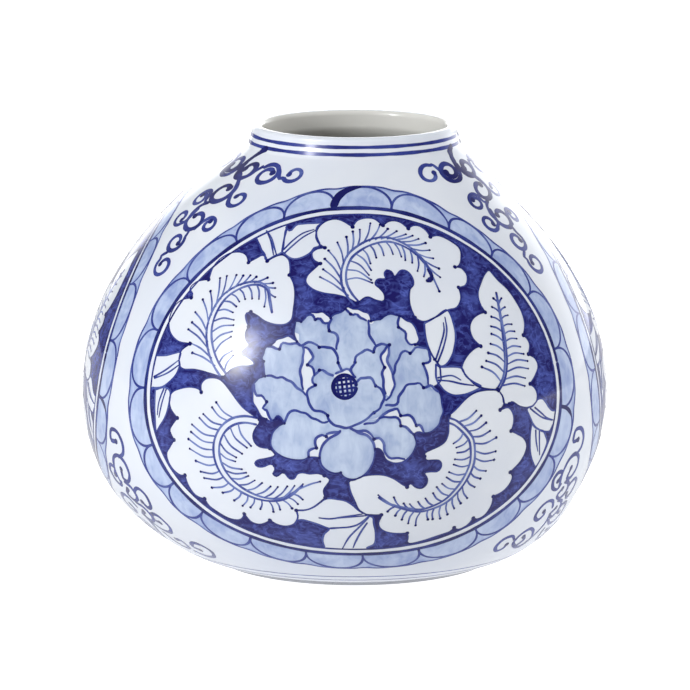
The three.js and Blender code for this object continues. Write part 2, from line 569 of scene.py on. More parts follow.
turns = np.linspace(0, 2 * math.pi, 4001)
oval_steps = np.diff(oval(turns, 3.0), axis=0)
oval_steps[:, 0] *= narrowing(oval(turns[1:], 3.0)[:, 1])
lengths = np.r_[0, np.cumsum(np.hypot(*oval_steps.T))]
around = lengths[-1]
even = np.interp(np.linspace(0, around, int(around / 1.2))[:-1], lengths, turns)
share = (pairs(SCALLOP_BASES) - OVAL_MIDDLE) / OVAL_HALF
share = np.sign(share) * np.abs(share) ** (OVAL_SQUARENESS / 2)
bases = np.interp(np.arctan2(share[:, 1], share[:, 0]) % (2 * math.pi), turns, lengths)
bases -= around * (bases > bases[0])


def scallop(i):
    """The hump between bases i and i + 1, clockwise, as a curve out from the oval and back."""
    start, stop = bases[i], bases[(i + 1) % SCALLOPS] - (around if i == SCALLOPS - 1 else 0)
    t = np.linspace(0, math.pi, 34)
    sway = np.cos(t) * (1 + 0.06 * np.sin(t)) + 0.1 * np.sin(t) ** 2
    place = (start + stop) / 2 + (start - stop) / 2 * sway
    out = BORDER_START + (BORDER - BORDER_START) * np.sin(t) ** 0.86
    return oval(np.interp(place % around, lengths, turns), out)


def border_edge():
    """The outer edge of the pale border, which dips a little between scallops."""
    at = np.interp(even, turns, lengths)
    gap = np.min([np.abs((at - b + around / 2) % around - around / 2) for b in bases], axis=0)
    return oval(even, BORDER + 0.3 - 0.9 * np.exp(-(gap / 4) ** 2))


print(f"oval: {around:.0f} mm round, {SCALLOPS} scallops {around / SCALLOPS:.1f} mm apart")

# %% [markdown]
# ## The peony
# The flower is drawn as one outer margin, the folds where a petal's pale underside turns over, and
# the petals' own brush lines. The wash fills the margin and leaves out the folds.

# %% The peony's margin and folds
PEONY = [
    [-42, 10, -44, 11, -47, 15.5, -49, 20, -49, 25, -47, 28, -43.5, 30], [-44.5, 32, -44.5, 36],
    [-46, 38, -45.5, 41, -44, 43.5, -42.5, 43.8], [-41, 45, -39, 47, -35, 48.5, -31, 47.5, -29.5, 46],
    [-30, 48, -31.5, 52, -30.5, 55.5, -28, 56], [-25.5, 58.5, -23, 60, -19, 60.5, -15, 59.5, -13.2, 57.5],
    [-12.5, 58, -9, 60.5, -5, 61.7], [-4, 63, 0, 62, 4, 61, 7, 59, 8, 56.5],
    [12, 56.5, 15, 58.5, 20, 59, 22.6, 58], [26, 56, 30, 53, 31.5, 49, 31, 45.5, 29.5, 44],
    [34, 43.4, 37, 40, 38, 37], [40.5, 32, 40, 28, 37.5, 25],
    [38.5, 22, 40, 17, 39.5, 11.5, 37, 6.5, 33.5, 4, 30.5, 4], [28, 4.5, 26, 3.5],
    [27, -1, 25, -5.5, 21, -9, 17, -9.5, 13, -7.5, 11.5, -4, 9.5, -2, 8.2, -2.5],
    [8, -4, 7, -9, 4, -14, 0, -16.5, -4, -16.5, -6.5, -15, -7.5, -13.5],
    [-10, -14, -14, -12.5, -16.5, -9.5, -17.2, -6.5], [-19.5, -6.3, -22, -6.3],
    [-24, -7.5, -28, -7.8, -33, -7, -37.5, -4.5, -39.5, -1, -39, 3, -36, 7.5, -33, 9],
    [-34, 10.5, -36.5, 12, -38, 10], [-40, 9.6, -42, 10],
]
FOLDS = [
    [[-22, -8, -22, -3.5, -20, -2.2, -18.5, -2], [-19, 0.5, -18.5, 3, -16, 4, -14, 3.3],
     [-13.5, 4.5, -11, 5.5, -8.5, 5.3, -7.5, 6.3], [-9, 4.5, -13, 2.5, -15.5, -0.5, -17, -5, -17, -9]],
    [[-3.5, 7.5, -1, 6, 3, 6, 6, 4.5, 7.5, 2], [10, 2.5, 12, 0, 12.5, -4, 15, -7, 18.5, -7, 23.5, -7.5],
     [22, -11, 12, -11, 8.5, -4], [7.5, 0, 5, 3.5, 1, 5, -3.5, 7.5]],
    [[5, 10.5, 11.5, 13, 15, 15, 18.5, 15.5, 20, 12.7], [23, 12.5, 26, 11, 27, 7.7],
     [29, 7.5, 30, 5, 30.5, 3, 27, 1.5, 26, 3.5], [23, 6.5, 20, 8], [19, 10.5, 16, 12, 11, 12, 5, 10.5]],
    [[33, 45, 33, 43, 36, 41, 36, 38.5, 35, 36, 32.5, 35], [33, 31.5, 34, 28, 33.8, 25, 35, 23.5],
     [42, 24, 44, 34, 38, 44, 33, 45]],
    [[22.5, 60, 22.5, 57.5, 21.5, 52.5], [24.5, 51, 25, 47, 26.5, 45, 30, 43.5, 35, 46, 34, 56, 22.5, 60]],
    [[-5, 61.5, -3.5, 60.8, -1.5, 59.7], [0.5, 59.5, 3, 58, 6, 56, 9, 55, 9, 64, -5, 65, -5, 61.5]],
    [[-26, 58.4, -22, 59, -20.5, 57],
     [-18, 57, -16, 55.5, -13.5, 55, -12, 58, -14, 63, -26, 63, -26, 58.4]],
    [[-43, 44, -41, 43, -38, 42.5], [-36.5, 45, -34, 45, -31, 45.5, -28, 44.5],
     [-29, 50, -42, 50, -43, 44]],
    [[-26, 44.3, -22.5, 42, -21, 38.5, -23.5, 36], [-21, 34, -20, 31, -20.5, 28, -19.5, 26.5],
     [-22, 25.5, -23.5, 22.5, -24.5, 24, -26, 28, -26.5, 34, -25.5, 40, -26, 44.3]],
    [[-49, 26, -48, 24.5, -47, 21, -44, 20.5, -42, 18.5], [-43.5, 15.5, -41.5, 14, -40, 11, -38.5, 9],
     [-46, 7, -52, 16, -49, 26]],
    [[16, 45.3, 14, 43, 12, 40, 12, 37, 13, 34.5], [12, 31, 12.5, 26, 13.3, 22.5],
     [15, 20.8, 16, 22, 17.5, 27, 17, 31.5, 15, 36, 15.5, 41, 16, 45.3]],
    [[-10.5, 30.5, -8, 33, -5, 34, -2, 32.5, -1, 30], [-0.5, 27.5, -6, 24, -10.5, 30.5]],
]


RUFFLE = 0.34


def ruffled(points):
    """The same curve with small ripples, which fade out down the flower."""
    x, y = points.T
    ripple = np.stack([np.sin(0.9 * y + 0.5 * x + 1), np.sin(1.05 * x - 0.4 * y)], axis=1)
    return points + RUFFLE * ripple * np.clip((points[:, 1:] + 6) / 20, 0, 1)


peony_edge = ruffled(loop(PEONY))
fold_edges = [ruffled(loop(fold)) for fold in FOLDS]
print(f"peony: {np.ptp(peony_edge[:, 0]):.0f} mm across, {len(FOLDS)} folds")

# %% The peony's brush lines
PETAL_LINES = [
    [[-10.5, 30.5, -14, 32.5, -17.5, 33.5], [-20, 31.5, -20.5, 28, -19.5, 26.5],
     [-22, 25.5, -23, 22, -22, 18, -18.5, 15, -14.5, 14.2, -13.3, 13],
     [-12.5, 10.5, -9, 8.3, -6, 7.5, -2.5, 8, 1, 9.5, 5, 12, 8, 14],
     [11, 17.5, 12.3, 20.5, 11.5, 24, 9, 26.5], [7.5, 29, 5, 30.2, 1.5, 29.5, -0.5, 27.5]],
    [[-33, 9, -32.5, 12, -30, 14.3, -26, 14.5, -21, 12, -16.5, 10, -13, 10]],
    [[-22, -6.5, -22, -3.5, -20, -2.2, -18.5, -2], [-19, 0.5, -18.5, 3, -16, 4, -14, 3.3],
     [-13.5, 4.5, -11, 5.5, -8.5, 5.3, -7.5, 6.3]],
    [[-7.5, 6, -9, 4.5, -13, 2.5, -15.5, -0.5, -17, -5, -16.5, -9.5, -14, -12.5, -10, -14, -7.5, -13.5]],
    [[8, -4, 7.5, 0, 5, 3.5, 1, 5, -3.5, 7.5]],
    [[-3.5, 7.5, -1, 6, 3, 6, 6, 4.5, 7.5, 2], [10, 2.5, 12, 0, 12.5, -4, 15, -7, 18.5, -7, 22, -7.8]],
    [[10, 11.5, 16, 12, 19, 10.5, 20, 8], [23, 6.5, 26, 3.5]],
    [[13, 17, 18, 18, 19.5, 21, 21.5, 24, 25, 26.5, 29, 26.5, 31, 24.7], [35, 25, 38.5, 22]],
    [[30.5, 4, 29, 7.5, 27, 7.5], [26, 11, 23, 12.5, 20, 12.5],
     [18.5, 15.5, 15, 15, 11.5, 12.5, 7, 9.5, 3, 9]],
    [[17, 31, 18.5, 35, 20.5, 39, 24, 41.5, 26, 40.8],
     [29, 42.5, 33, 43, 36, 41, 36, 38.5, 35, 36, 32.5, 35], [33, 31.5, 34, 28, 33.8, 25.5]],
    [[7, 57, 6.3, 52, 7.5, 48, 9.5, 44.5]],
    [[22.5, 58, 21.5, 52.5], [24.5, 51, 25, 47, 26.5, 45, 30, 44.5]],
    [[-9.5, 43, -9.5, 49, -11, 51, -13.5, 51.5], [-13.5, 55, -12.5, 57.5]],
    [[-5, 61.5, -3.5, 60.8, -2.5, 60], [-0.5, 59, 0.5, 59.5, 3, 58, 6, 56]],
    [[-26, 58.4, -22, 59, -20.5, 57], [-18, 57, -16, 55.5, -13.5, 55]],
    [[-30, 46, -28, 44.5, -26, 45, -24, 45.8, -20, 45.5, -18, 43.5],
     [-15, 44.2, -11, 42.5, -9, 39, -8.5, 36.5], [-7, 33]],
    [[-26, 44, -22.5, 42, -21, 38.5, -23.5, 36], [-21, 34, -20, 31]],
    [[-44, 43.5, -41, 43, -38, 42.5], [-36.5, 45, -34, 45, -31, 45.5, -28, 44.5]],
    [[-43, 30, -38, 29.5, -33, 29, -29, 26.5, -26, 24, -23.5, 22]],
    [[-26.5, 45, -25.5, 40, -26.5, 34, -26, 28, -24.5, 24]],
    [[-48.5, 25.5, -47, 21, -44, 20.5, -42, 18.5], [-43.5, 15.5, -41.5, 14, -40, 11, -38.5, 9.5]],
    [[-0.5, 30, -2.5, 33.5, -1, 37], [0.5, 40.5, 4, 42.5, 8.5, 42], [9, 44.5, 12, 45, 16.5, 45],
     [15.5, 41, 15, 36, 17, 31.5, 17.5, 27, 16, 22, 13, 19.5]],
    [[16, 45, 14, 43, 12, 40, 12, 37, 13, 34.5], [12, 31, 12.5, 26, 13.3, 22.5]],
    [[-10, 31.5, -8, 33, -5, 34, -2, 32.5, -1, 30]],
]
SEED_POD = (-5.7, 26)
SEED_POD_RADIUS = 5.2
print(len(PETAL_LINES), "petal lines")

# %% [markdown]
# ## The scrolling leaves
# Five large white leaves curl round the flower. Each is a margin of lobes and a double spine, with
# veins combed out on both sides. The veins lean towards the tip and end in a touch of dark cobalt.


# %% Leaf tools
VEIN_WIDTH = 0.85
VEIN_INK = 0.24


class Leaf:
    """A leaf's margin, its spine from stalk to tip, and where its outer and inner veins end.

    outer_span and inner_span say between which shares of the spine those veins start."""

    def __init__(self, margin, spine, outer, inner, outer_span, inner_span, spread=2.9):
        self.margin, self.spine = margin, smooth_curve(spine, 0.5)
        self.outer, self.inner, self.spread = outer, inner, spread
        self.outer_span, self.inner_span = outer_span, inner_span
        self.edge = loop(margin)


def veins(paint, leaf, ends, span, dot):
    """Veins in order along the spine. Each leaves the spine a little along it, and then turns out."""
    step = np.diff(leaf.spine, axis=0)
    length = np.r_[0, np.cumsum(np.hypot(*step.T))]

    def along_spine(at):
        return np.array([np.interp(at, length, leaf.spine[:, i]) for i in (0, 1)])

    ends = pairs(ends)
    for end, start in zip(ends, np.linspace(*span, len(ends)) * length[-1]):
        root, ahead = along_spine(start), along_spine(start + 1)
        reach = math.dist(end, root)
        share = start / length[-1]
        edge = root + (end - root) / reach * leaf.spread / 2 * min(1, 2 - 2 * share)
        middle = root + 0.5 * (end - root) + 0.1 * reach * (ahead - root)
        vein = smooth_curve([edge, middle, end])
        paint.stroke(vein, VEIN_WIDTH, VEIN_INK, ends=(0.8, 0.85), pooled=(0.1, 0.4))
        paint.blob(vein[-1], dot * paint.hand.uniform(0.8, 1.15))


def paint_leaf(paint, leaf):
    """Margin, spine and veins of one scrolling leaf."""
    paint.outline(leaf.margin, width=0.75, ink=0.72, tick=1.0)
    veins(paint, leaf, leaf.outer, leaf.outer_span, dot=0.66)
    veins(paint, leaf, leaf.inner, leaf.inner_span, dot=0.5)
    step = np.gradient(leaf.spine, axis=0)
    step /= np.hypot(*step.T)[:, None]
    side = np.stack([-step[:, 1], step[:, 0]], axis=1)
    taper = np.clip((1 - np.linspace(0, 1, len(leaf.spine))) * 2, 0, 1)[:, None]
    for half in (-leaf.spread / 2, leaf.spread / 2):
        paint.stroke(leaf.spine + side * half * taper, width=1.1, ink=0.34, pooled=(0.3, 0.45))


print(f"veins {VEIN_WIDTH} mm wide")

# %% The five scrolling leaves
LEAVES = [
    Leaf(
        [[-65, 27.5, -72, 28.8, -80, 29.6, -88, 29.2, -90.5, 31, -91, 37, -86.5, 41],
         [-95, 41.5, -102, 45.5, -105, 52, -104, 58, -100.5, 61, -95, 62.5],
         [-95, 64.2, -98.8, 67, -96.5, 70.3, -92, 72, -88.3, 72.5],
         [-89, 79, -86.5, 84, -81, 87.5, -74, 88.5, -69, 87, -66, 83.5],
         [-62, 86, -58.5, 88, -55.5, 87, -54, 85],
         [-50, 87.5, -45, 88.8, -40.5, 86.5, -38.5, 82, -38.2, 78.5],
         [-35, 74.5, -33.2, 69, -32.8, 62, -33.2, 56.5, -36, 54.2, -41, 53.8, -47, 55, -52, 57.5, -56, 59],
         [-58.5, 58, -57.5, 55, -55.5, 52], [-56.5, 48.5, -55, 45, -53, 43.2],
         [-55.5, 41.5, -57, 39, -54, 38, -50.5, 36.3, -49.3, 34.8, -52, 33.8, -57, 33.3, -61, 31.5,
          -65, 27.5]],
        [-62, 26, -64, 28, -70, 34, -75, 42, -77.5, 50, -77, 58, -74, 65, -68, 70, -60, 73, -54, 73,
         -49, 70.5, -47, 66, -44, 59],
        [-84, 37, -87, 41.5, -90, 47.5, -89, 51, -89, 56, -87, 62.5, -84, 67, -81, 74, -77, 75.5, -71, 76.5,
         -66.5, 76.5, -62, 77, -58, 76.5, -51, 76.5, -47, 74, -45, 71.5, -44, 67],
        [-61, 38, -62, 40, -64, 46.5, -64, 49, -64, 52, -64.5, 54.5, -66, 58, -65, 61, -64, 63.5, -61, 65,
         -57, 65.5, -53, 65.5, -49, 62],
        outer_span=(0.1, 0.87), inner_span=(0.05, 0.82)),
    Leaf(
        [[1, 65, -4, 67.5, -10, 69, -18, 70, -24, 72, -28, 75.5, -27.5, 78.5, -24, 82, -20.5, 85],
         [-25, 87, -26.5, 90.5, -24, 92.5, -18.5, 93.5],
         [-23, 96, -25.5, 100, -24, 105, -19, 108.5, -12, 109.5, -6, 108, 0, 105],
         [3, 108.5, 9, 110, 16, 109.5, 20, 107, 22, 105.5], [26, 107.5, 31, 108, 36, 106.5, 40, 103],
         [44, 104.5, 49, 104, 53, 101, 54, 97.5], [60, 98, 66, 95.5, 72, 90, 70, 85, 66, 81, 63, 80.5],
         [67, 79.5, 69, 76, 66, 71, 60.5, 70], [60, 65, 56, 60.5, 50, 59.5, 42, 56.5, 35, 55, 31, 57],
         [29.5, 63, 31, 71, 33.5, 73, 34, 76, 32, 80, 28, 81, 24.5, 78.5, 23, 77.5],
         [22.5, 80, 19.5, 81.5, 17.5, 79.5, 18, 77, 13.5, 76.8, 11.5, 74.5, 14.5, 71.5, 16.2, 68.5,
          15.5, 65.3], [11, 66.3, 6.5, 68, 1, 65]],
        [1, 64.5, -3, 69, -6, 75, -6, 82, -2.5, 89, 5, 94, 14, 97, 24, 97.5, 34, 94, 41, 88.5, 45, 82,
         46, 77, 43, 75.5],
        [-20, 78, -18.5, 82, -18, 87.5, -16, 92, -10.5, 96.5, -4.5, 99.5, 0, 102.5, 5, 103.5, 13, 107,
         20, 106, 25, 103.5, 31, 102, 37, 100, 41.5, 99, 45, 97, 49, 94.5, 50, 90.5, 50.5, 86, 52, 80.5,
         51, 76, 48, 69],
        [10, 75, 9.5, 76.5, 8.5, 79, 10, 81.5, 10, 85, 14, 88, 19, 89, 25, 89.5, 30, 88, 32, 86, 36, 84.5,
         38, 80, 41, 77],
        outer_span=(0.05, 0.94), inner_span=(0.16, 0.88)),
    Leaf(
        [[69.5, 20.5, 63, 21.5, 58, 23.5, 53, 29, 51.5, 32, 55, 37, 61, 40.5, 64, 41],
         [60.5, 45, 60, 50, 63, 54, 68, 56, 72, 56.5], [70.5, 61, 71.5, 66, 75, 70, 80, 74, 86, 77],
         [89, 71, 93, 66, 95.5, 59, 96.5, 53, 95.5, 48, 92, 43], [94, 41, 94.5, 38, 92, 34],
         [96, 31.5, 97, 28, 94, 24, 89.5, 20.5],
         [92.5, 18, 93.5, 14.5, 92, 11.5, 88, 10, 82, 11, 77, 14, 75.5, 13],
         [72.5, 13.5, 72, 17, 69.5, 20.5]],
        [70, 20.5, 74, 25, 76.5, 31, 78, 38, 79.5, 46, 81, 54, 82.5, 60, 84, 65.5],
        [62.5, 31.5, 65.5, 34, 67.5, 37.5, 70, 41.5, 72, 46, 73, 49.5, 75, 54, 77.5, 58.5, 80.5, 62.5],
        [86, 20, 87, 23.5, 90, 27.5, 90.5, 31, 89, 34.5, 88, 38, 87, 42, 87, 45.5, 86.5, 49, 86, 53.5,
         86, 57.5, 86, 62],
        outer_span=(0.08, 0.88), inner_span=(0.04, 0.86), spread=1.3),
    Leaf(
        [[-88, 6.5, -92, 10, -93.5, 15, -92, 18, -88, 20, -82, 21.5, -77, 21, -75.5, 19.8],
         [-76, 23.5, -74, 26, -70, 27, -66, 26.5, -62.5, 24, -58, 19.5, -54, 15.5, -50, 12.7, -45, 10],
         [-45, 8.5, -47, 5.5, -48, 2.5, -47.5, 0, -45.5, -2.3, -42.5, -3, -40, -3],
         [-37.5, -6, -42, -8, -46, -9, -47.5, -10.5, -46.5, -12, -43.5, -12, -40, -10.5, -38, -11],
         [-38, -13.5, -39, -15, -37.5, -16.3, -35.5, -15, -34, -13.8],
         [-32.5, -15.5, -31, -17.3, -29, -17, -27.5, -14.5, -25, -13.8, -22, -14.3, -18, -14, -15, -15],
         [-12.5, -17, -15.5, -22.5, -14.8, -26.2], [-20, -31, -24, -33, -29, -33.5],
         [-28.5, -37, -29.5, -39.5, -31, -41.5, -35, -43, -39, -42.5, -43, -40],
         [-45, -41.5, -49, -43, -53, -42, -56, -37.5],
         [-57.5, -40, -60, -41.5, -64, -41.5, -68, -40, -72, -37.5, -75, -35, -76.5, -31.5],
         [-78.5, -31.5, -82, -30, -84, -27, -85, -24, -85.5, -20.5],
         [-88, -21, -92, -19, -94.5, -15.5, -95.2, -11, -93, -8, -90, -4],
         [-92, -1, -92.5, 0.5, -91, 3, -88, 6.5]],
        [-46, 9, -52, 9.5, -58, 8, -63, 4, -66, -2, -66.5, -8, -65, -14, -61, -20, -55, -24.5, -48, -27.5,
         -41, -28.5, -35, -27.5, -30, -24.5, -25, -20],
        [-67, 16, -69, 13.5, -73.5, 10, -75.5, 8, -79.5, 4.5, -80, 1, -81.5, -2.5, -81, -7, -78, -12.5,
         -76, -17.5, -74.5, -20.5, -71, -25, -65.5, -27, -60, -30.5, -56, -33, -52, -33.5, -47, -34,
         -40.5, -35, -37, -33.5, -31, -32.5, -28, -30, -25.5, -27.5],
        [-49, -2.5, -51, -3.5, -53.5, -6.5, -56.5, -8.5, -57, -10.5, -54, -14, -52, -15.5, -51, -17,
         -48, -19, -44.5, -20, -40.5, -21.5, -37, -21.5, -32.5, -21, -29, -20.5, -25, -19.5, -17, -18],
        outer_span=(0.12, 0.92), inner_span=(0.12, 0.96), spread=3.0),
    Leaf(
        [[43, 11, 47, 14, 52, 18, 57, 20.3, 63, 20.8, 68, 20.3, 70, 20], [72, 17, 72.5, 13.5, 70, 11],
         [75, 11.5, 77.5, 8, 77.5, 4, 76, 0.5],
         [80, -1.5, 84, -4, 86, -7.5, 85.5, -11, 83, -15, 77.5, -19.5],
         [79.5, -22, 78.5, -26, 75.5, -29, 70, -31], [70.5, -34, 70, -38, 68, -41.5, 64, -43, 61.5, -42],
         [60, -45, 57.5, -47, 54, -48, 51.5, -46.5], [50, -48.5, 42, -51, 34, -53.5, 28, -54.5, 26, -54],
         [26.5, -50, 26, -47.5], [22, -47.5, 18, -47, 14, -45.5, 11.5, -43, 11, -40, 12, -37, 12, -35.8],
         [8, -35.7, 4, -35, 1, -32.5, -1, -28, -3, -23, -4, -17.5],
         [-1, -17, 2, -15.5, 6, -14.7, 12, -15, 17, -17, 21, -20, 23.5, -21.5],
         [25, -19.8, 27.5, -21.8, 30.5, -22.5, 32.5, -21, 33, -18, 31, -14.8],
         [34, -14.5, 38, -14.5, 39.5, -12, 38.5, -9.5, 35, -9, 32, -8.8, 31, -7],
         [31, -5.5, 34, -4, 38, -2.5, 41, -0.5, 42.5, 3, 42.7, 6.5, 43, 11]],
        [42.5, 9, 46, 7.5, 51, 3, 54, -1, 55, -6, 55, -12, 53, -18, 49.5, -24, 44, -30, 38, -33, 31, -34.5,
         24, -33, 18, -31, 14, -29, 10, -26],
        [57, 12, 59.5, 9.5, 62, 6, 64, 2, 67.5, -1.5, 67.5, -8, 67, -12, 63, -17, 60.5, -20.5, 58, -24.5,
         55, -30, 52, -32.5, 49, -35, 46, -38, 42.5, -40, 38.5, -40, 36, -40, 30, -43, 26, -41.5, 22.5, -39,
         19, -36.5, 15, -34],
        [45, -2, 46.5, -4, 47, -6.5, 46, -9.5, 45.5, -12, 43.5, -15.5, 42.5, -18, 40.5, -21, 38, -22.5,
         36.5, -25.5, 33, -28, 29.5, -29.5, 25.5, -30.5, 22.5, -30, 17.5, -26.5, 10, -25],
        outer_span=(0.05, 0.88), inner_span=(0.12, 0.9), spread=2.2),
]
TOP_LEAF_HOOK = [44.5, 81, 46, 77, 44.5, 74.6, 41.5, 75]
print(len(LEAVES), "scrolling leaves")

# %% [markdown]
# ## The small leaves
# Pairs of small plain leaves fill the gaps. Each has a margin and a double midrib.

# %% The small leaves
SMALL_LEAVES = [
    ([-67, 96.8, -63, 93.5, -60, 90.5, -57, 88.5, -55, 85.5, -50, 88.2, -46, 90.5, -47, 98, -47.5, 103.5,
      -50, 105.5, -60, 101.5], [-62, 101.5, -56, 97.5, -52, 92.5, -49, 88.5],
     [-60, 100, -55.5, 95.5, -52.5, 91, -51, 88.3]),
    ([-46, 90.5, -40, 87.5, -36, 87, -31, 88.5, -27, 91, -25.5, 93.2, -22, 94.5, -25, 100, -25.5, 105,
      -22.5, 107, -28, 107, -35, 106.5, -41, 105.5, -44, 102, -47.5, 103, -47, 98],
     [-44.5, 89.5, -40, 94, -34, 99, -26, 103], [-45.5, 91.5, -41, 96.5, -35, 101, -27, 103.5]),
    ([-107, 33, -100, 34, -95, 35.5, -91, 36.5, -91, 32.5, -90, 31, -91, 26.5, -95, 22, -100, 19, -107, 19],
     [-105.5, 23, -98, 27.5, -91, 33], [-105, 22.5, -97, 26, -90, 31]),
    ([-103, 17.5, -97, 19.5, -93.5, 18, -94, 10, -96, 5, -99, 1, -101, -1.5, -102, 5, -102.5, 10],
     [-97.5, 19, -100, 12, -100.5, 6], [-96, 19, -98, 12, -99.5, 5]),
    ([35.5, 54, 42, 56.5, 50, 59.5, 51.5, 52, 51, 46, 48, 39, 44, 34.5, 41, 33.5, 38.5, 36.5, 36, 42,
      35, 48], [38.5, 36.5, 42, 43, 45.5, 50, 46, 54], [39.5, 35.5, 44, 43, 47, 50, 47.5, 56.5]),
    ([38.5, 35, 40, 33.5, 47, 33, 51.5, 32, 53, 28.5, 57, 25, 61, 22.5, 58, 21.5, 52, 20, 46, 20, 42, 22,
      39.5, 25, 38, 28], [38.5, 28.5, 46, 29, 50.5, 26.5], [38.5, 27.5, 45, 26.5, 50, 25, 57, 23.5]),
    ([94, 13, 97, 12.5, 99.5, 10, 101, 8, 103.5, 6, 106, 5.5, 105, 1.5, 102.5, -2, 101.5, -3.3, 98, -3,
      94, -1.5, 90.5, 1, 88, 5, 86, 9.5, 90, 10.3], [88, 9.5, 92, 6.5, 96, 4, 100, 2.5, 103.5, 1.5],
     [91, 9.5, 95, 6.5, 99, 3.5, 104, 1.5]),
    ([89, 2.5, 88, -2, 88, -7, 89, -12, 91, -16, 94.5, -19.5, 97, -15, 99.5, -10, 100, -8, 98.5, -5,
      97, -2.7, 94, -1.5, 90.5, 0.5], [91.5, -1, 92, -6, 94, -12], [94, -2, 94.5, -8, 95.5, -14]),
    ([-29, -33.5, -24, -33, -20, -31, -17, -28.5, -14.5, -26.7, -9, -27, -5, -28, -2, -30, 1, -33, 4, -35,
      6, -36.5, 4, -38.5, 1, -41, -3, -42.5, -8, -43, -13.5, -43.5, -18, -41.5, -22, -40, -26.5, -38.7,
      -29, -39, -28.5, -37], [-18.5, -37.3, -13, -37.8, -6, -36.5, 0, -35.5, 3, -35],
     [-13, -37.8, -5, -36.8, 5, -36]),
    ([-14, -44.5, -16.5, -47, -18, -51, -18, -55, -17.5, -58.5, -8, -59, 2, -58.5, 5, -56, 8.5, -54,
      9.5, -50, 9.5, -45, 8.5, -40, 8, -37, 6, -36.5, 4, -38.5, 1, -41, -3, -42.5, -8, -43, -13.5, -43.5],
     [6, -37, 2, -42, -4, -49, -9, -57.5], [5.5, -40, 2, -46, -1, -52, -3, -56.5]),
]
small_edges = [smooth_curve([*leaf[0], *leaf[0][:2]])[:-1] for leaf in SMALL_LEAVES]
print(len(SMALL_LEAVES), "small leaves")

# %% [markdown]
# ## The scrolling vines
# Between the panels, one vine hangs from the shoulder and another climbs from the foot. Each is a
# set of hooks and spirals, painted dark where the brush was full and paler as it ran dry.


# %% The vines
def curl(lead, centre, radius, start, sweep):
    """A stroke that arrives along the lead and winds up round the centre; angles in degrees."""
    turn = np.radians(np.arange(0, abs(sweep) + 1, 24) * math.copysign(1, sweep) + start)
    reach = radius * (1 - np.linspace(0, 0.35 + 0.25 * abs(sweep) / 540, len(turn)))
    return smooth_curve(np.vstack([pairs(lead), circle(centre, reach, turn)]))


UPPER_VINE = [
    (smooth_curve([-124, 147.3, -136, 144, -142, 139, -143.5, 134]), 3.4, 0.95),
    (curl([-141, 138], (-127, 133.5), 6.2, 180, 370), 3.0, 0.85),
    (curl([-124, 127, -118, 131, -110, 137], (-97, 132.5), 6.8, 150, -480), 2.4, 0.6),
    (curl([-88, 137, -84, 135, -80, 131.5], (-67, 134.5), 4.8, 215, 340), 2.1, 0.45),
    (curl([-139, 131, -131, 130], (-129, 119), 7.3, 50, -360), 2.8, 0.8),
    (curl([-120, 124, -116, 119], (-104, 117), 5, 200, 330), 2.2, 0.55),
    (curl([-131, 112.5, -138, 109.5, -141, 104], (-130, 101.5), 6.8, 170, 340), 2.5, 0.7),
    (curl([-124, 96, -121, 101], (-113, 100.5), 4.5, 140, -430), 2.1, 0.55),
    (curl([-137, 108, -141, 99], (-150, 100.5), 5, -30, -370), 2.2, 0.6),
    (curl([-133, 95, -128, 95], (-134, 88), 6, 40, -420), 2.3, 0.65),
    (curl([-134, 82.5, -139, 79], (-131, 75), 6, 150, 400), 2.1, 0.6),
    (curl([-143.5, 134, -148, 129], (-159, 133.5), 6.8, -30, -520), 2.8, 0.8),
    (curl([-168, 131, -172, 135, -178, 139], (-187, 133.5), 6, 60, 330), 2.2, 0.5),
    (curl([-131, 112, -138, 112], (-148, 113), 5.2, 40, 470), 2.2, 0.65),
]
LOWER_SCROLLS = [
    [-135, -20, -129, -17, -128, -12, -132, -7, -138, -7, -139, -12, -134, -12],
    [-141, -36, -143, -28, -140, -21, -134, -19, -129, -22, -128, -28, -132, -32, -136, -31, -135, -26],
    [-137, -33, -131, -35, -129, -40, -134, -43, -139, -40, -136, -37],
    [-129, -42, -129, -37, -124, -34, -119, -37, -119, -43, -123, -45, -126, -42],
    [-140, -33, -142, -36, -148, -34, -150, -29, -147, -26, -143, -27, -145, -31],
    [-135, -44, -128, -46, -126, -51, -131, -55, -136, -52, -132, -49],
    [-134, -56, -128, -60, -120, -60, -115, -55, -118, -49, -124, -49, -126, -53, -122, -54],
    [-137, -48, -141, -43, -147, -42, -152, -45, -153, -50, -148, -53, -144, -50, -146, -48],
    [-131, -62, -130, -68, -125, -73, -118, -71, -118, -66, -123, -66],
    [-118, -74, -110, -77, -100, -75, -96, -69, -100, -65, -107, -65, -111, -69, -107, -71],
    [-142, -67, -146, -61, -152, -58, -159, -61, -161, -66, -156, -70, -151, -66, -154, -63],
    [-161, -66, -155, -71, -148, -72, -142, -67, -136, -58, -136, -52],
    [-162, -64, -166, -60, -173, -61, -176, -66, -173, -70, -168, -69, -167, -66],
]
LOWER_VINE = [(smooth_curve(scroll), 2.1, 0.6) for scroll in LOWER_SCROLLS]
print(len(UPPER_VINE), "upper and", len(LOWER_VINE), "lower strokes")


# %% [markdown]
# ## Painting the three panels and the vines
# The ground is one dark film with the leaves and the flower left out of it, so the leaves are the
# bare white glaze. The pale wash fills the flower and the scalloped border. The brush lines lie
# over both. Every panel is painted afresh, with its own small changes of hand.

# %% Fills and lines of one panel
ground_edge = oval(even, -1.6)
white_edges = [leaf.edge for leaf in LEAVES] + small_edges
border_inner, border_outer = oval(even, BORDER_START), border_edge()


def is_ground(points):
    covered = inside(points, peony_edge)
    for edge in white_edges:
        covered |= inside(points, edge)
    return inside(points, ground_edge) & ~covered


def is_petal(points):
    folded = np.zeros(len(points), bool)
    for edge in fold_edges:
        folded |= inside(points, edge)
    return inside(points, peony_edge) & ~folded


def is_border(points):
    return inside(points, border_outer) & ~inside(points, border_inner)


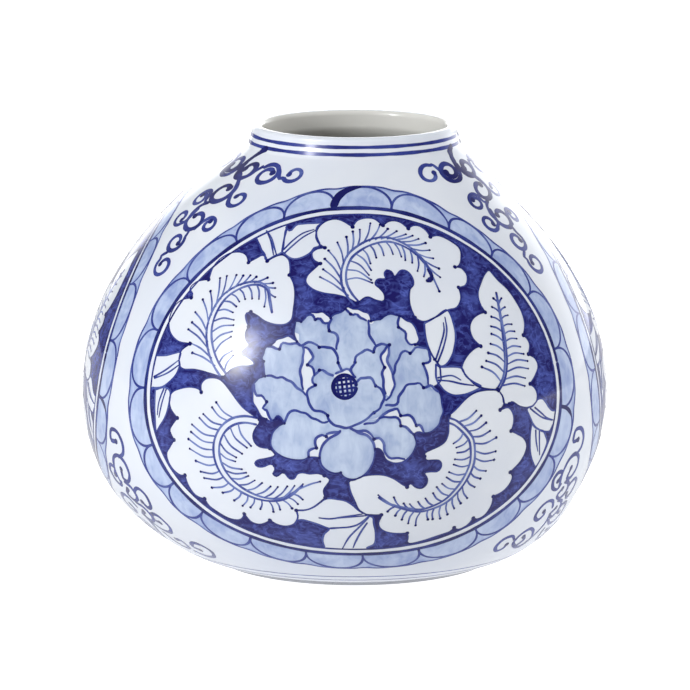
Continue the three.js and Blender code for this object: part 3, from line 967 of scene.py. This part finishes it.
ground_paint = Painting(11)
ground_paint.fill([ground_edge, peony_edge, *white_edges], is_ground)
petal_paint = Painting(12)
petal_paint.fill([peony_edge, *fold_edges], is_petal, grid=2.6)
border_paint = Painting(13)
border_paint.fill([border_inner, border_outer], is_border)
print("faces:", [len(paint.faces) for paint in (ground_paint, petal_paint, border_paint)])

# %% Brush lines of one panel
def paint_frame(lines):
    """The oval's double line and the scallops. A fuller brush was set down at two of them."""
    whole = np.r_[even, even[0] + 2 * math.pi]
    lines.stroke(oval(whole, 2.2), width=2.1, ink=0.8)
    lines.stroke(oval(whole, -1.5), width=1.0, ink=0.75)
    lines.stroke(np.vstack([border_edge(), border_edge()[:1]]), width=0.95, ink=0.45)
    for i in range(SCALLOPS):
        lines.stroke(scallop(i), width=1.3, ink=0.5, ends=(0.9, 0.8), pooled=(0.3, 0.1))
    lines.stroke(scallop(0)[:17], width=3.8, ink=1.0, ends=(0.9, 0.3))
    lines.stroke(scallop(6)[:11], width=2.2, ink=0.9, ends=(0.9, 0.4))


def paint_small_leaf(lines, edge, ribs):
    """A small leaf's margin, as far as it is inside the oval, and its midrib."""
    shown = inside(edge, ground_edge)
    start = int(np.argmin(shown)) if not shown.all() else 0
    edge, shown = np.roll(edge, -start, axis=0), np.roll(shown, -start)
    edge = edge[shown] if not shown.all() else np.vstack([edge, edge[:1]])
    lines.stroke(edge, width=0.9, ink=0.5)
    for rib in ribs:
        lines.stroke(smooth_curve(rib), width=0.85, ink=0.5, ends=(1, 0.6), pooled=(0.3, 0.3))


def paint_seed_pod(lines):
    """The ring at the flower's heart, with a lattice in it."""
    px, py = SEED_POD
    lines.stroke(circle(SEED_POD, SEED_POD_RADIUS, np.linspace(0, 2 * math.pi, 40)), width=1.8, ink=0.95)
    for across in (-3.1, -1.0, 1.1, 3.2):
        half = math.sqrt(SEED_POD_RADIUS ** 2 - across ** 2)
        for tilt in (0.12, 0.12 + math.pi / 2):
            c, s = math.cos(tilt), math.sin(tilt)
            ends = [(px + c * e - s * across, py + s * e + c * across) for e in (-half, half)]
            lines.stroke(smooth_curve(ends), width=1.1, ink=0.8)


def panel_brushwork(seed):
    """All the brush lines of one panel."""
    lines = Painting(seed)
    paint_frame(lines)
    lines.stroke(smooth_curve(TOP_LEAF_HOOK), width=2.0, ink=1.0, ends=(0.5, 1))
    lines.outline(PEONY, width=0.8, ink=0.7, tick=0.7, bend=ruffled)
    for petal in PETAL_LINES:
        lines.outline(petal, width=1.25, ink=0.45, closed=False, tick=0.85, bend=ruffled)
    for edge, leaf in zip(small_edges, SMALL_LEAVES):
        paint_small_leaf(lines, edge, leaf[1:])
    for leaf in LEAVES:
        paint_leaf(lines, leaf)
    paint_seed_pod(lines)
    return lines


brushwork = [panel_brushwork(20 + i) for i in range(PANELS)]
print("strokes and touches in each panel:", brushwork[0].strokes)

# %% [markdown]
# ## Wrapping the paint round the pot
# A real layer of cobalt is far too thin to see from the side. The films are a twentieth of a
# millimetre proud of the glaze: just enough for the lines to lie clear of the washes, and not so much
# that they show as steps along the outline of the pot.

# %% Wrap the films round the pot
LIFT = {"ground": 0.05, "wash": 0.045, "lines": 0.075, "vine": 0.055}
films = {"ground": [], "petals": [], "border": [], "lines": [], "vine": [], "ring": []}
for i in range(PANELS):
    shift = i * PITCH
    films["ground"].append(ground_paint.wrap(f"ground_{i + 1}", shift, LIFT["ground"]))
    films["petals"].append(petal_paint.wrap(f"petal_wash_{i + 1}", shift, LIFT["wash"]))
    films["border"].append(border_paint.wrap(f"border_wash_{i + 1}", shift, LIFT["wash"]))
    films["lines"].append(brushwork[i].wrap(f"brushwork_{i + 1}", shift, LIFT["lines"]))
    vine = Painting(30 + i)
    for path, width, ink in UPPER_VINE + LOWER_VINE:
        vine.stroke(path, width, ink, ends=(0.8, 0.95), pooled=(0.2, 0.3))
        vine.blob(path[-1], 0.68 * width, ink + 0.25)
    films["vine"].append(vine.wrap(f"vine_{i + 1}", shift, LIFT["vine"]))

# %% [markdown]
# ## The banding lines
# Two lines circle the neck and two finer ones circle the foot. They are painted with the pot
# turning under a still brush, so they are even and close up behind.


# %% Neck and foot lines
def banding(name, lines):
    """Rings right round the pot, each given as its height on the sheet, width and ink."""
    paint = Painting(5)
    half_round = math.pi * SHEET_RADIUS
    across = np.linspace(-half_round, half_round, 720)
    for up, width, ink in lines:
        paint.stroke(np.stack([across, np.full(len(across), up)], axis=1), width, ink, ring=True)
    films["ring"].append(paint.wrap(name, 0, LIFT["vine"]))


banding("neck_lines", [(146.9, 1.7, 0.62), (150.4, 1.6, 0.62)])
banding("foot_lines", [(-84.0, 0.85, 0.42), (-90.0, 1.1, 0.5)])

# %% [markdown]
# ## Mixing a finish
# A finish is a small recipe of noises and blends. Written out as nodes it is hard to read, so one
# class wraps a socket and lets plain arithmetic add the Math nodes, and another adds any other node.


# %% Shader maths as plain expressions
class Value:
    """A number in a node tree. Arithmetic on it adds Math nodes."""

    def __init__(self, recipe, socket):
        self.recipe, self.socket = recipe, socket

    def math(self, kind, other=None, clamp=False):
        inputs = {0: self} if other is None else {0: self, 1: other}
        return self.recipe.node("Math", {"operation": kind, "use_clamp": clamp}, inputs)

    def __add__(self, other):
        return self.math("ADD", other)

    def __mul__(self, other):
        return self.math("MULTIPLY", other)

    def __sub__(self, other):
        return self.math("SUBTRACT", other)

    def __rsub__(self, other):
        return self.recipe.node("Math", {"operation": "SUBTRACT"}, {0: other, 1: self})

    __radd__ = __add__
    __rmul__ = __mul__

    def clamped(self):
        return self.math("ADD", 0.0, clamp=True)


class Recipe:
    """A material being mixed."""

    def __init__(self, name):
        self.material = bpy.data.materials.new(name)
        self.material.use_nodes = True
        self.tree = self.material.node_tree
        self.shader = self.tree.nodes["Principled BSDF"]

    def node(self, kind, settings=None, inputs=None, output=0):
        """Adds a node, sets it up, fills its sockets with numbers or links, and gives one output."""
        made = self.tree.nodes.new("ShaderNode" + kind)
        for key, value in (settings or {}).items():
            setattr(made, key, value)
        for key, value in (inputs or {}).items():
            self.fill(made.inputs[key], value)
        return Value(self, made.outputs[output])

    def fill(self, socket, value):
        if isinstance(value, Value):
            self.tree.links.new(value.socket, socket)
        else:
            socket.default_value = value

    def set(self, **sockets):
        for key, value in sockets.items():
            self.fill(self.shader.inputs[key.replace("_", " ")], value)

    def noise(self, scale, detail=2.0, roughness=0.5, stretch=None, swirl=0.0):
        """Noise from 0 to 1 at a scale in blobs per metre, on Object coordinates."""
        place = self.node("TexCoord", output="Object")
        if stretch:
            place = self.node("Mapping", {}, {"Vector": place, "Scale": stretch})
        shape = {"Scale": scale, "Detail": detail, "Roughness": roughness, "Distortion": swirl}
        return self.node("TexNoise", {}, {"Vector": place, **shape})

    def attribute(self, name):
        """A number that the mesh carries at each of its points."""
        return self.node("Attribute", {"attribute_name": name}, {}, "Fac")

    def blend(self, share, low, high):
        """A colour between low and high."""
        return self.node("Mix", {"data_type": "RGBA"}, {"Factor": share, 6: low, 7: high}, 2)

    def between(self, value, low, high):
        """0 below low, 1 above high, eased between."""
        return self.node("MapRange", {"interpolation_type": "SMOOTHSTEP"}, {0: value, 1: low, 2: high})


def tone(red, green, blue):
    """An sRGB colour, 0 to 255, as the linear colour a shader wants."""
    def linear(c):
        c /= 255
        return c / 12.92 if c <= 0.04045 else ((c + 0.055) / 1.055) ** 2.4
    return (linear(red), linear(green), linear(blue), 1.0)


def glazed(recipe):
    """The clear gloss that the white and the blues share."""
    wave = recipe.noise(45, 2.0) + 0.25 * recipe.noise(260, 2.0)
    bump = recipe.node("Bump", {}, {"Strength": 0.16, "Distance": 0.0006, "Height": wave})
    recipe.set(IOR=1.5, Specular_IOR_Level=0.38, Normal=bump)
    recipe.set(Roughness=0.05 + 0.04 * recipe.noise(120, 3.0))
    return recipe.material


print("a mid grey as light:", round(tone(128, 128, 128)[0], 3))

# %% [markdown]
# ## The white glaze
# Everything above the foot is under one clear glaze, so the white and all the cobalt share the same
# gloss and the same faint waviness, and only their colour differs. The white is a cool, slightly
# cloudy porcelain. The inside is painted a little warmer and greyer than the outside: painted shade for the
# hollow.

# %% White glaze
white = Recipe("white_glaze")
clouds = white.between(white.noise(22, 3.0, 0.6), 0.3, 0.7)
outer_white = white.blend(clouds, tone(208, 213, 223), tone(214, 218, 225))
# The inside is painted a warmer, greyer white: painted shade for the hollow of the pot.
white.set(Base_Color=white.blend(white.attribute("hollow"), outer_white, tone(212, 211, 206)))
white_glaze = glazed(white)
print("white glaze:", len(white.tree.nodes), "nodes")

# %% [markdown]
# ## The pale washes
# A wash is watery cobalt laid on in one go. It dries in soft blots, faint streaks that follow the
# brush, and a darker rim. The rim comes from the distance to the edge that the film carries, and
# the blots and streaks from two noises, so no two petals are alike.


# %% Pale washes
def pale_wash(name, thin, thick):
    wash = Recipe(name)
    edge_gap = wash.attribute("ink")
    pool = 1 - wash.between(edge_gap, 0.0, 2.0)
    blots = wash.between(wash.noise(60, 3.0, 0.5, swirl=0.8), 0.36, 0.66)
    streaks = wash.between(wash.noise(170, 4.0, 0.6, (1.5, 1.5, 0.55), 0.8), 0.3, 0.75)
    weight = (0.42 * blots + 0.34 * streaks + 0.25 * pool).clamped()
    wash.set(Base_Color=wash.blend(weight, thin, thick))
    return glazed(wash)


petal_wash = pale_wash("petal_wash", tone(186, 199, 219), tone(122, 140, 184))
border_wash = pale_wash("border_wash", tone(184, 197, 222), tone(112, 131, 186))
print("washes:", petal_wash.name, border_wash.name)

# %% [markdown]
# ## The dark ground
# The ground is strong cobalt brushed in short strokes between the leaves. It is nearly navy where
# strokes overlap and along the edges, and brighter where single bristles left the layer thin.

# %% Dark ground
ground = Recipe("cobalt_ground")
pool = 1 - ground.between(ground.attribute("ink"), 0.1, 2.2)
broad = ground.between(ground.noise(60, 3.0, 0.55, swirl=0.6), 0.38, 0.64)
strokes = ground.between(ground.noise(150, 4.0, 0.6, (1, 1, 1.5), 1.6), 0.36, 0.62)
wisps = ground.noise(120, 2.0, 0.5, (1, 1, 1.4), 1.0) - 0.5
bristles = 1 - ground.between(wisps.math("ABSOLUTE"), 0.0, 0.035)
load = (0.3 + 0.35 * broad + 0.45 * strokes + 0.3 * pool - 0.4 * bristles).clamped()
ground.set(Base_Color=ground.blend(load, tone(76, 90, 170), tone(20, 16, 88)))
cobalt_ground = glazed(ground)
print("dark ground:", len(ground.tree.nodes), "nodes")

# %% [markdown]
# ## The brush lines
# A line is as dark as its ink: pale cornflower where the brush was watery or running dry, and nearly
# navy where it was full. The ink travels with the film, and a fine noise breaks it up a little.

# %% Brush lines
line = Recipe("cobalt_line")
ink = (line.attribute("ink") + 0.4 * line.noise(300, 3.0, 0.6) - 0.2).clamped()
pale = line.blend(line.between(ink, 0.0, 0.55), tone(112, 129, 186), tone(50, 61, 134))
line.set(Base_Color=line.blend(line.between(ink, 0.5, 1.0), pale, tone(14, 17, 86)))
cobalt_line = glazed(line)
print("brush lines:", len(line.tree.nodes), "nodes")

# %% [markdown]
# ## The bare clay
# The foot ring is unglazed porcelain: dry, a little warm, and finely grained from being turned. Its grey is
# painted shade, darker than bare clay, for the ring in the shadow under the pot.

# %% Bare clay
clay = Recipe("biscuit")
speck = clay.between(clay.noise(1500, 2.0), 0.62, 0.75)
# The specks are the clay's own grain. The darker, cooler grey is painted shade for the ring under the pot.
clay.set(Base_Color=clay.blend(speck, tone(186, 187, 192), tone(160, 158, 156)), Roughness=0.75)
clay.set(Normal=clay.node("Bump", {}, {"Strength": 0.4, "Distance": 0.0004, "Height": clay.noise(1800, 4.0)}))
biscuit = clay.material
print("bare clay:", len(clay.tree.nodes), "nodes")

# %% [markdown]
# ## Putting the pieces in the frame
# Every piece gets its material and rides on the one body. The
# glazed body stands for the three CAD sections of the wall, and the foot rim for the foot ring.

# %% Materials and bodies
for piece, material, slot in [
    (body, white_glaze, "white_glaze"),
    (foot, biscuit, "biscuit"),
    *[(film, cobalt_ground, "cobalt_dark") for film in films["ground"]],
    *[(film, petal_wash, "cobalt_wash") for film in films["petals"]],
    *[(film, border_wash, "cobalt_wash") for film in films["border"]],
    *[(film, cobalt_line, "cobalt_dark") for film in films["lines"] + films["vine"] + films["ring"]],
]:
    piece.data.materials.clear()
    piece.data.materials.append(material)
    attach(piece, "root")
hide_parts("lower_bowl", "upper_shoulder", "mouth_collar")
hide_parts("foot_ring")
print("painted films:", sum(len(group) for group in films.values()))

# %% [markdown]
# ## The floor
# The vase stands on a plain white sheet that is lit from below for the camera alone. A second,
# unseen sheet under it gives back only the light that a real table would. One bright sheet could
# do both, but it would throw so much light up that the pot's base would lose its shape.


# %% Floor
def wide_plane(name, below, grey, glow):
    """A level plane a hair below the vase, grey, and giving off some light of its own."""
    deselect_all()
    bpy.ops.mesh.primitive_plane_add(size=8, location=(0, 0, -below))
    plane = bpy.context.object
    plane.name = name
    paper = Recipe(name)
    paper.set(Base_Color=(grey, grey, grey, 1.0), Roughness=0.9)
    paper.set(Emission_Color=(1, 1, 1, 1), Emission_Strength=glow)
    plane.data.materials.append(paper.material)
    return plane


floor = wide_plane("floor", below=0.0002, grey=0.5, glow=0.92)
floor.visible_diffuse = floor.visible_glossy = False
table = wide_plane("table", below=0.0004, grey=0.8, glow=0.55)
table.visible_camera = False
print("stage:", floor.name, table.name)

# %% [markdown]
# ## The lamps
# Three soft lamps shape the pot: one overhead, a broad one in front, and one on the right that
# keeps that side from going dull. A lamp's own reflection would be a hard square in the gloss, so
# the lamps aren't mirrored. The room's own light makes the reflections instead.

# %% Lamps
VASE_MIDDLE = (0, 0, 0.1)


def direction(left, height):
    """The way out from the vase, so many degrees to the left of the front and above level."""
    left, height = math.radians(left), math.radians(height)
    level = -math.cos(height)
    return level * math.sin(left), level * math.cos(left), math.sin(height)


def soft_light(name, left, height, distance, size, power):
    """A square lamp aimed at the vase, from degrees to the left of the front and above level."""
    light = bpy.data.lights.new(name, "AREA")
    light.size = size
    light.energy = power
    lamp = bpy.data.objects.new(name, light)
    bpy.context.collection.objects.link(lamp)
    x, y, z = direction(left, height)
    lamp.location = np.array((x, y, z)) * distance + VASE_MIDDLE
    lamp.rotation_euler = (math.atan2(math.hypot(x, y), z), 0, math.atan2(y, x) + math.pi / 2)
    lamp.visible_glossy = False
    print(f"{name}: {power} W")


soft_light("top_softbox", left=30, height=72, distance=1.6, size=1.4, power=1.0)
soft_light("front_fill", left=5, height=25, distance=2.2, size=1.6, power=6.0)
soft_light("right_fill", left=-95, height=12, distance=2.0, size=1.2, power=26)

# %% [markdown]
# ## The room
# The rest of the light comes from all round. A bright patch on the left stands for the big soft
# window and makes the long reflection on the shoulder. Pale patches behind let the edges of the pot
# fade to white, as a glossy rim does against a white wall. Each patch is a smooth function of
# direction, so no reflection has a hard edge.


# %% The room's own light
class Room(Recipe):
    """The light that comes from all round, by direction."""

    def __init__(self, world):
        world.use_nodes = True
        self.tree = world.node_tree
        self.shader = self.tree.nodes["Background"]

    def glow(self, left, height, core, edge, flat=1.0):
        """A soft patch of light: 1 within core of a direction and 0 beyond edge, in unit lengths."""
        here = self.node("TexCoord", output="Generated")
        centre = direction(left, height)
        away = self.node("VectorMath", {"operation": "SUBTRACT"}, {0: here, 1: centre})
        away = self.node("VectorMath", {"operation": "MULTIPLY"}, {0: away, 1: (1, 1, flat)})
        gap = self.node("VectorMath", {"operation": "LENGTH"}, {0: away}, "Value")
        return 1 - self.between(gap, core, edge)


bpy.context.scene.world = bpy.data.worlds.new("room")
room = Room(bpy.context.scene.world)
ALL_ROUND = 0.24
window = 1.8 * room.glow(48, 29, 0.1, 0.55, 0.75) + 4.5 * room.glow(50, 29, 0.05, 0.34, 0.7)
window = window + 22 * room.glow(52, 28, 0.02, 0.18, 0.6)
back = 2.4 * room.glow(180, 3, 0.26, 0.54) + 0.5 * room.glow(180, 38, 0.2, 0.75)
back = back + 2.4 * room.glow(-150, 0, 0.1, 0.8)
room.set(Color=(0.98, 0.99, 1.0, 1.0), Strength=ALL_ROUND + window + back)
bpy.context.scene.view_settings.view_transform = "Standard"
print("room:", len(room.tree.nodes), "nodes")

# %% [markdown]
# ## The camera
# A long lens, a little above the pot and tilted down at it, shows the dark inside of the mouth and
# keeps the foot almost level.

# %% Camera
DISTANCE = 2.2
TILT = 0.192532
AIM_HEIGHT = 101.17 * MM
SIDE = 0.22 * MM
SENSOR = 36
LENS = 240.6
camera = bpy.data.objects.new("camera", bpy.data.cameras.new("camera"))
bpy.context.collection.objects.link(camera)
camera.data.sensor_width = SENSOR
camera.data.lens = LENS
camera.data.clip_start = 0.1
camera.location = (SIDE, -DISTANCE * math.cos(TILT), AIM_HEIGHT + DISTANCE * math.sin(TILT))
camera.rotation_euler = (math.pi / 2 - TILT, 0, 0)
bpy.context.scene.camera = camera
print("camera:", [round(v, 3) for v in camera.location], "lens", camera.data.lens)
